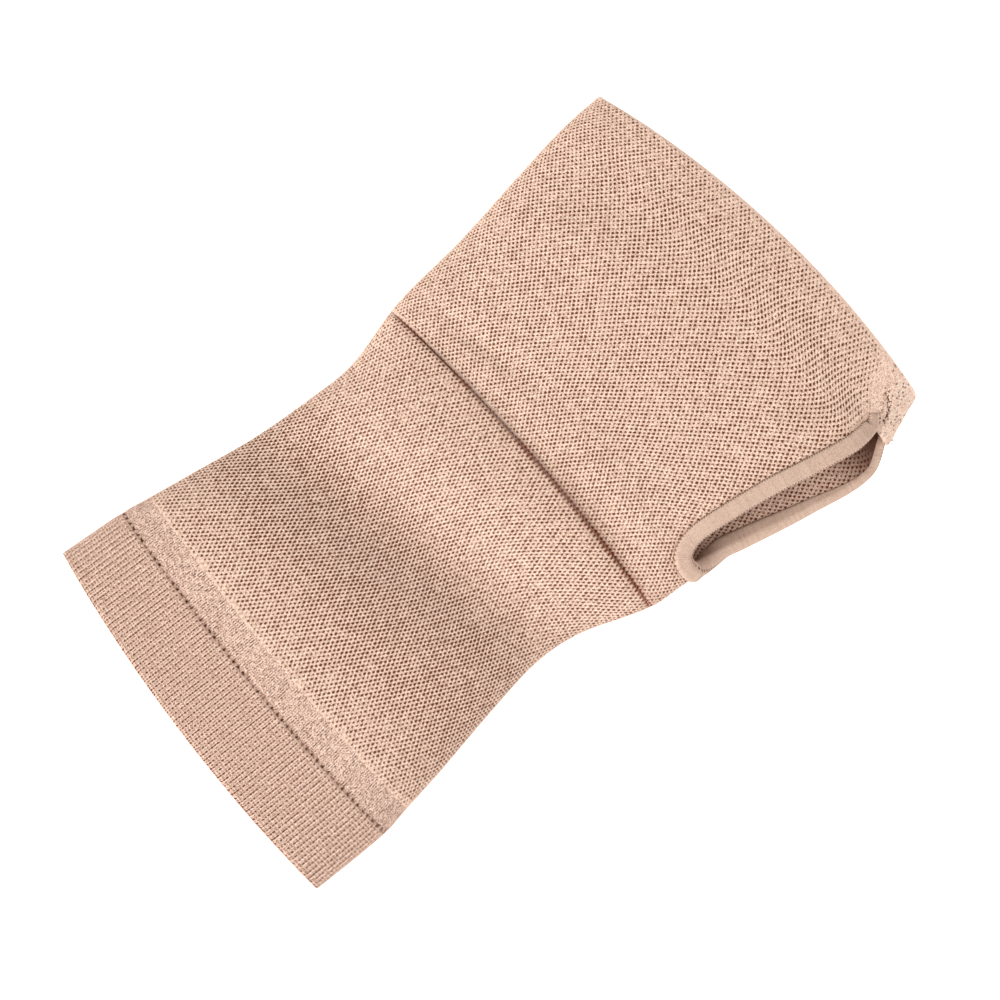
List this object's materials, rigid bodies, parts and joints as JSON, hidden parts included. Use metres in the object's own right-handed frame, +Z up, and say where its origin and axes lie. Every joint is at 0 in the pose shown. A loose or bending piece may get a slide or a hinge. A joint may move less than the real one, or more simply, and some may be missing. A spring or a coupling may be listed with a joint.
{
  "type": "wrist support glove",
  "caption": "fingerless elastic knit sleeve that supports the wrist and palm, with a ribbed cuff and a bound slit for the thumb, lying flat",
  "frame": {"origin": "middle of the box around the glove, on the surface that it lies on", "axes": "+Y along the arm towards the fingers, +X towards the thumb, +Z up from the surface"},
  "size_m": [0.0939, 0.157, 0.0134],
  "materials": {
    "rib_knit": "soft one-by-one rib knit in skin beige",
    "plain_knit": "plain elastic knit under overlock stitches, skin beige",
    "mesh_knit": "open elastic mesh knit in skin beige",
    "binding_tape": "folded satin binding tape in skin beige",
    "overlock_thread": "overlock thread over the raw knit edge, skin beige"
  },
  "bodies": {
    "root": {"rib_cuff": "rib_knit", "seam_band": "plain_knit", "wrist_sleeve": "mesh_knit", "palm_sleeve": "mesh_knit", "thumb_binding": "binding_tape", "web_seam": "overlock_thread"}
  },
  "joints": []
}
